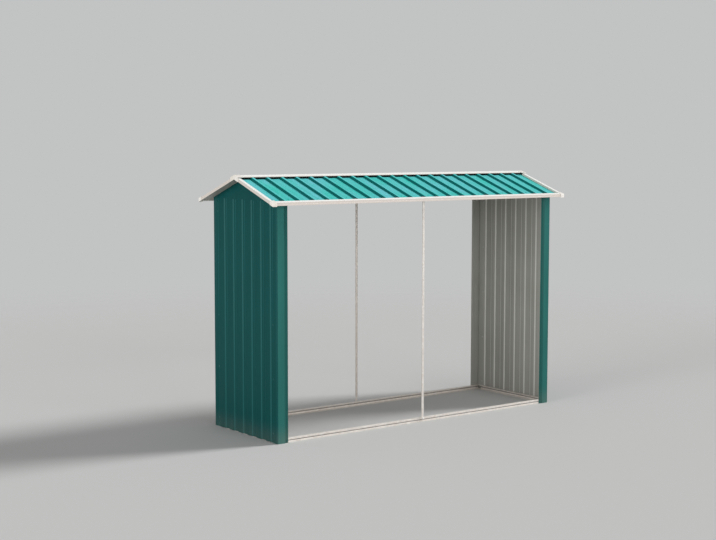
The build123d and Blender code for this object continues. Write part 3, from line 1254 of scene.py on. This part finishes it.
                seats = [self.on_slope(x, way * y, offset) for xs, ys in rows for x in xs for y in ys]
                FastenerSet(f"{name}_{side}", slot, pattern, seats, coats).build()


@dataclass
class MouldedCaps:
    """Rounded caps over the eave corners and the ridge ends; sizes in mm."""

    wall: float = 2.0
    edge_round: float = 2.2
    corner_size: float = 31.0
    rivet_line: float = 26.0
    # A face looks along an axis where its normal has more than this share of it.
    looks_along: float = 0.9
    looks_down: float = 0.7
    fold_angle: float = 0.2
    finishes: Finishes = field(default_factory=Finishes)

    def corner(self, side: str, end: str, finish: bpy.types.Material, rivet_seats: list[Seat]) -> None:
        """Rebuild one eave corner cap.

        Args:
            side: "front" or "back".
            end: "left" or "right".
            finish: Material of the cap.
            rivet_seats: List that gets the seat of the cap's rivet.
        """
        node = f"eave_corner_cap_{side}_{end}"
        low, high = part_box(node)
        way_y = -1.0 if side == "front" else 1.0
        way_x = -1.0 if end == "left" else 1.0
        span = self.corner_size * MM
        height = high.z - low.z - (high.y - low.y) * SLOPE_TAN
        middle = Vector(
            (
                (high.x if way_x > 0 else low.x) - way_x * span / 2,
                (high.y if way_y > 0 else low.y) - way_y * span / 2,
                low.z + (height + span * SLOPE_TAN) / 2,
            )
        )
        bm = bmesh.new()
        cube = bmesh.ops.create_cube(bm, size=1.0)["verts"]
        bmesh.ops.scale(bm, verts=cube, vec=(span, span, height))
        shear = Matrix.Identity(4)
        shear[2][1] = -way_y * SLOPE_TAN
        bmesh.ops.transform(bm, matrix=Matrix.Translation(middle) @ shear, verts=cube)
        self.shell(bm, lambda n: -n.y * way_y > self.looks_along or self.is_inner(n, way_x))
        piece = finish_mesh(bm, f"moulded_{node}", (finish,))
        self.settle(piece, node)
        top = low.z + height + span / 2 * SLOPE_TAN
        outward = Vector((0.0, way_y * SLOPE_SIN, SLOPE_COS))
        rivet_seats.append(Seat(Vector((middle.x, middle.y, top)), outward))

    def ridge_end(self, end: str, finish: bpy.types.Material, rivet_seats: list[Seat]) -> None:
        """Rebuild one ridge end cap.

        Args:
            end: "left" or "right".
            finish: Material of the cap.
            rivet_seats: List that gets the seats of the cap's rivets.
        """
        node = f"ridge_end_cap_{end}"
        low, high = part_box(node)
        size = high - low
        middle = (low + high) / 2
        way_x = -1.0 if end == "left" else 1.0
        height = size.z - size.y / 2 * SLOPE_TAN
        bm = bmesh.new()
        cube = bmesh.ops.create_cube(bm, size=1.0)["verts"]
        bmesh.ops.scale(bm, verts=cube, vec=(size.x, size.y, height))
        bmesh.ops.translate(bm, verts=cube, vec=(0, 0, -height / 2))
        bmesh.ops.bisect_plane(
            bm, geom=bm.verts[:] + bm.edges[:] + bm.faces[:], plane_co=(0, 0, 0), plane_no=(0, 1, 0)
        )
        for way_y in (-1.0, 1.0):
            shear = Matrix.Identity(4)
            shear[2][1] = -way_y * SLOPE_TAN
            half = [v for v in bm.verts if v.co.y * way_y > 1e-6]
            bmesh.ops.transform(bm, matrix=shear, verts=half)
        bmesh.ops.translate(bm, verts=bm.verts, vec=(middle.x, 0.0, high.z))
        self.shell(bm, lambda n: abs(n.y) > self.looks_along or self.is_inner(n, way_x))
        piece = finish_mesh(bm, f"moulded_{node}", (finish,))
        self.settle(piece, node)
        for way_y in (-1.0, 1.0):
            y = way_y * self.rivet_line * MM
            outward = Vector((0.0, way_y * SLOPE_SIN, SLOPE_COS))
            rivet_seats.append(Seat(Vector((middle.x, y, high.z - abs(y) * SLOPE_TAN)), outward))

    def is_inner(self, normal: Vector, way_x: float) -> bool:
        """Whether a face looks down or towards the store's middle, where every cap is open."""
        return -normal.x * way_x > self.looks_along or -normal.z > self.looks_down

    def shell(self, bm: bmesh.types.BMesh, is_open: Callable[[Vector], bool]) -> None:
        """Open a block, round its outer edges and give it the wall thickness.

        Args:
            bm: Block with its outer faces in place.
            is_open: Says from a face's normal whether that side stays open.
        """
        bm.normal_update()
        bmesh.ops.delete(bm, geom=[f for f in bm.faces if is_open(f.normal)], context="FACES")
        folds = [e for e in bm.edges if len(e.link_faces) == 2 and e.calc_face_angle() > self.fold_angle]
        bmesh.ops.bevel(
            bm,
            geom=folds,
            offset=self.edge_round * MM,
            affect="EDGES",
            segments=4,
            profile=0.5,
            material=-1,
        )
        bm.normal_update()
        bmesh.ops.solidify(bm, geom=bm.faces[:], thickness=self.wall * MM)
        bmesh.ops.recalc_face_normals(bm, faces=bm.faces)

    def settle(self, piece: bpy.types.Object, node: str) -> None:
        """Let a rebuilt cap stand for its node.

        Args:
            piece: The rebuilt cap.
            node: Name of the CAD node.
        """
        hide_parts(node)
        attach(piece, "root")
        log.info("%s: %d faces", piece.name, len(piece.data.polygons))

    def build(self) -> None:
        """Rebuild every cap and rivet it down."""
        plastic = self.finishes.plastic.material()
        seats: list[Seat] = []
        for end in ("left", "right"):
            for side in ("front", "back"):
                self.corner(side, end, plastic, seats)
            self.ridge_end(end, plastic, seats)
        white = self.finishes.white_head.material()
        pattern = TRIM_RIVET.mesh()
        FastenerSet("cap_rivets", "white_trim", pattern, seats, (white,)).build()


@dataclass
class EndFrame:
    """One end of the store: its grooved wall, two posts and side rails; sizes in mm."""

    end: str
    groove_count: int = 7
    groove_pitch: float = 101.0
    groove_depth: float = 5.0
    sheet_gauge: float = 0.8
    post_gauge: float = 1.5
    column_lines: Sequence[float] = (58.0, 380.0, 702.0, 1024.0, 1346.0)
    base_line: float = 22.0
    head_line: float = 1411.0
    lip_bolt_inset: float = 9.0
    rail_bolt_line: float = 14.0
    finishes: Finishes = field(default_factory=Finishes)

    @property
    def way(self) -> int:
        """Direction of this end along X."""
        return -1 if self.end == "left" else 1

    def dress(self) -> None:
        """Give the wall, posts and rails their finishes."""
        facing = Facing.LEFT if self.end == "left" else Facing.RIGHT
        dress_node(f"side_wall_{self.end}", self.finishes.wall.material(facing, Fold.UPRIGHT))
        for side in ("front", "back"):
            outward = Facing[f"{side}_{self.end}".upper()]
            coat = self.finishes.post.material(outward, Fold.UPRIGHT)
            dress_node(f"corner_post_{side}_{self.end}", coat)
        dress_node(f"top_rail_{self.end}", self.finishes.top_rail.material(facing, Fold.CROSSWAYS))
        dress_node(f"base_rail_{self.end}", self.finishes.galvanised.material())

    def fix(self) -> None:
        """Screw the wall to its posts and rails, and bolt the rails to the posts."""
        teal = self.finishes.green_head.material()
        zinc = self.finishes.zinc.material()
        low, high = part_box(f"side_wall_{self.end}")
        edge = (low if self.way < 0 else high).x / MM
        floor = edge - self.way * self.groove_depth
        outward = Vector((self.way, 0.0, 0.0))
        middle = (self.groove_count - 1) / 2
        grooves = [(i - middle) * self.groove_pitch for i in range(self.groove_count)]
        places = [(y, z) for y in (grooves[0], grooves[-1]) for z in self.column_lines]
        places += [(y, z) for y in grooves[::2] for z in (self.base_line, self.head_line)]
        FastenerSet(
            f"wall_screws_{self.end}",
            "green_sheet",
            PanHeadScrew(washer_radius=4.8, washer_height=0.5, head_height=1.9).mesh(),
            [Seat(Vector((floor, y, z)) * MM, outward) for y, z in places],
            (teal, teal),
        ).build()
        inner = floor - self.way * (self.sheet_gauge + self.post_gauge)
        FastenerSet(
            f"wall_nuts_{self.end}",
            "galvanised_steel",
            HexNut().mesh(),
            [Seat(Vector((inner, y, z)) * MM, -outward) for y, z in places],
            (zinc,),
        ).build()
        for side, way_y in (("front", -1), ("back", 1)):
            low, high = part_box(f"corner_post_{side}_{self.end}")
            lip_x = (high.x if self.way < 0 else low.x) / MM + self.way * self.lip_bolt_inset
            rail_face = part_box(f"base_rail_{side}")
            face = (rail_face[0] if way_y < 0 else rail_face[1]).y / MM
            out = Vector((0.0, way_y, 0.0))
            heights = (self.rail_bolt_line, self.head_line)
            FastenerSet(
                f"post_bolts_{side}_{self.end}",
                "green_sheet",
                PanHeadScrew(
                    head_radius=4.5, crown_radius=3.0, washer_radius=5.0, washer_height=0.5
                ).mesh(),
                [Seat(Vector((lip_x, face + way_y * self.post_gauge, z)) * MM, out) for z in heights],
                (teal, teal),
            ).build()
            FastenerSet(
                f"post_nuts_{side}_{self.end}",
                "galvanised_steel",
                HexNut().mesh(),
                [Seat(Vector((lip_x, face - way_y * self.post_gauge, z)) * MM, -out) for z in heights],
                (zinc,),
            ).build()


@dataclass
class OpenSide:
    """The open front or back: its rails and slim centre post; sizes in mm."""

    side: str
    foot_line: float = 22.0
    head_line: float = 1408.0
    finishes: Finishes = field(default_factory=Finishes)

    def dress(self) -> None:
        """Give the rails and the centre post their finishes."""
        facing = Facing.FRONT if self.side == "front" else Facing.BACK
        zinc = self.finishes.galvanised.material()
        dress_node(f"base_rail_{self.side}", zinc)
        dress_node(f"centre_post_{self.side}", zinc)
        dress_node(f"top_rail_{self.side}", self.finishes.top_rail.material(facing, Fold.LENGTHWAYS))

    def fix(self) -> None:
        """Screw the centre post to the rails at its foot and its head."""
        way = -1 if self.side == "front" else 1
        low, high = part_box(f"centre_post_{self.side}")
        face = (low if way < 0 else high).y
        zinc = self.finishes.zinc.material()
        seats = [
            Seat(Vector((0.0, face, z * MM)), Vector((0.0, way, 0.0)))
            for z in (self.foot_line, self.head_line)
        ]
        pattern = PanHeadScrew(
            head_radius=3.6, crown_radius=2.5, washer_radius=4.2, washer_height=0.6
        ).mesh()
        FastenerSet(
            f"centre_post_screws_{self.side}", "galvanised_steel", pattern, seats, (zinc, zinc)
        ).build()


def dress_node(node: str, material: bpy.types.Material) -> None:
    """Give a CAD node its finish through its own material slots.

    Args:
        node: Name of the CAD node.
        material: Finish that it gets.
    """
    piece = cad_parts[node]
    if not piece.data.materials:
        piece.data.materials.append(material)
    for slot in piece.material_slots:
        slot.link = "OBJECT"
        slot.material = material
    log.info("%s: %s", node, material.name)


# Studio


@dataclass
class Studio:
    """Pale floor, soft lamps, backdrop and camera."""

    floor_radius: float = 14.0
    floor_sides: int = 96
    floor_fade_start: float = 4.5
    floor_fade_end: float = 9.0
    floor_colour: str = "#CECECD"
    backdrop_colour: str = "#C2C3C3"
    sky_colour: str = "#FFFFFF"
    sky_strength: float = 0.28
    key_strength: float = 0.72
    key_direction: tuple[float, float, float] = (0.78, -0.2, 0.6)
    key_softness_deg: float = 16.0
    side_strength: float = 0.62
    side_direction: tuple[float, float, float] = (-1.0, -0.12, 0.1)
    side_softness_deg: float = 30.0
    front_strength: float = 0.46
    front_direction: tuple[float, float, float] = (0.0, -1.0, 0.15)
    front_softness_deg: float = 40.0
    camera_place: tuple[float, float, float] = (-5.53168, -6.99559, 1.76564)
    camera_yaw_deg: float = -37.051
    camera_pitch_deg: float = -5.2786
    camera_roll_deg: float = 0.0624
    lens_mm: float = 69.39
    sensor_mm: float = 36.0
    near_clip: float = 0.05
    far_clip: float = 200.0

    def build(self) -> None:
        """Set up the floor, the lamps, the world and the camera."""
        self.floor()
        self.lamp("soft_key", self.key_strength, self.key_direction, self.key_softness_deg)
        self.lamp("side_fill", self.side_strength, self.side_direction, self.side_softness_deg)
        self.lamp("front_fill", self.front_strength, self.front_direction, self.front_softness_deg)
        self.world()
        self.camera()
        bpy.context.scene.view_settings.view_transform = "Standard"

    def floor(self) -> None:
        """Lay a pale matt floor that fades out into the backdrop and is clear from below."""
        bm = bmesh.new()
        bmesh.ops.create_circle(bm, cap_ends=True, segments=self.floor_sides, radius=self.floor_radius)
        material, tree = new_material("pale_matt_floor")
        here = add_node(tree, "ShaderNodeTexCoord").outputs["Object"]
        reach = add_node(tree, "ShaderNodeVectorMath", {0: here}, operation="LENGTH")
        fade = add_node(tree, "ShaderNodeMapRange", {
            "Value": reach.outputs["Value"], "From Min": self.floor_fade_start,
            "From Max": self.floor_fade_end,
        }, interpolation_type="SMOOTHSTEP")
        under = add_node(tree, "ShaderNodeNewGeometry").outputs["Backfacing"]
        hidden = add_node(tree, "ShaderNodeMath", {0: fade.outputs[0], 1: under}, operation="MAXIMUM")
        matt = add_node(tree, "ShaderNodeBsdfDiffuse", {"Color": linear(self.floor_colour)})
        clear = add_node(tree, "ShaderNodeBsdfTransparent")
        surface = add_node(
            tree, "ShaderNodeMixShader", {0: hidden.outputs[0], 1: matt.outputs[0], 2: clear.outputs[0]}
        )
        add_node(tree, "ShaderNodeOutputMaterial", {"Surface": surface.outputs[0]})
        piece = finish_mesh(bm, "studio_floor", (material,))

    def lamp(self, name: str, strength: float, direction: Sequence[float], softness_deg: float) -> None:
        """Hang one broad soft lamp, far away.

        Args:
            name: Name of the lamp.
            strength: Level that a white face square to it gets, where 1 is white.
            direction: Way from the store to the lamp.
            softness_deg: How wide the lamp looks from the store.
        """
        lamp = bpy.data.lights.new(name, "SUN")
        lamp.energy = strength * math.pi
        lamp.angle = math.radians(softness_deg)
        holder = bpy.data.objects.new(name, lamp)
        holder.rotation_mode = "QUATERNION"
        holder.rotation_quaternion = Vector(direction).to_track_quat("Z", "Y")
        bpy.context.scene.collection.objects.link(holder)

    def world(self) -> None:
        """Light evenly from all round, with a pale backdrop for the eye and for gloss."""
        world = bpy.data.worlds.new("studio_world")
        bpy.context.scene.world = world
        world.use_nodes = True
        tree = world.node_tree
        tree.nodes.clear()
        path = add_node(tree, "ShaderNodeLightPath")
        seen = add_node(tree, "ShaderNodeMath", {
            0: path.outputs["Is Camera Ray"], 1: path.outputs["Is Glossy Ray"],
        }, operation="MAXIMUM")
        seen = add_node(tree, "ShaderNodeMath", {
            0: seen.outputs[0], 1: path.outputs["Is Transmission Ray"],
        }, operation="MAXIMUM")
        fill = add_node(
            tree, "ShaderNodeBackground", {"Color": linear(self.sky_colour), "Strength": self.sky_strength}
        )
        backdrop = add_node(
            tree, "ShaderNodeBackground", {"Color": linear(self.backdrop_colour), "Strength": 1.0}
        )
        surface = add_node(
            tree, "ShaderNodeMixShader", {0: seen.outputs[0], 1: fill.outputs[0], 2: backdrop.outputs[0]}
        )
        add_node(tree, "ShaderNodeOutputWorld", {"Surface": surface.outputs[0]})

    def camera(self) -> None:
        """Stand the camera where the photographer stood."""
        data = bpy.data.cameras.new("camera")
        data.sensor_width = self.sensor_mm
        data.lens = self.lens_mm
        data.clip_start = self.near_clip
        data.clip_end = self.far_clip
        camera = bpy.data.objects.new("camera", data)
        camera.matrix_world = (
            Matrix.Translation(self.camera_place)
            @ Matrix.Rotation(math.radians(self.camera_yaw_deg), 4, "Z")
            @ Matrix.Rotation(math.radians(90.0 + self.camera_pitch_deg), 4, "X")
            @ Matrix.Rotation(math.radians(self.camera_roll_deg), 4, "Z")
        )
        bpy.context.scene.collection.objects.link(camera)
        bpy.context.scene.camera = camera


def main() -> None:
    """Dress the store, add its fixings and caps, and set up the studio."""
    logging.basicConfig(level=logging.INFO, format="%(name)s %(message)s")
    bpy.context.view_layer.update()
    roof = Roof()
    roof.dress()
    roof.fillers()
    roof.fix()
    MouldedCaps().build()
    for end in ("left", "right"):
        end_frame = EndFrame(end)
        end_frame.dress()
        end_frame.fix()
    for side in ("front", "back"):
        open_side = OpenSide(side)
        open_side.dress()
        open_side.fix()
    Studio().build()


if __name__ == "__main__":
    main()
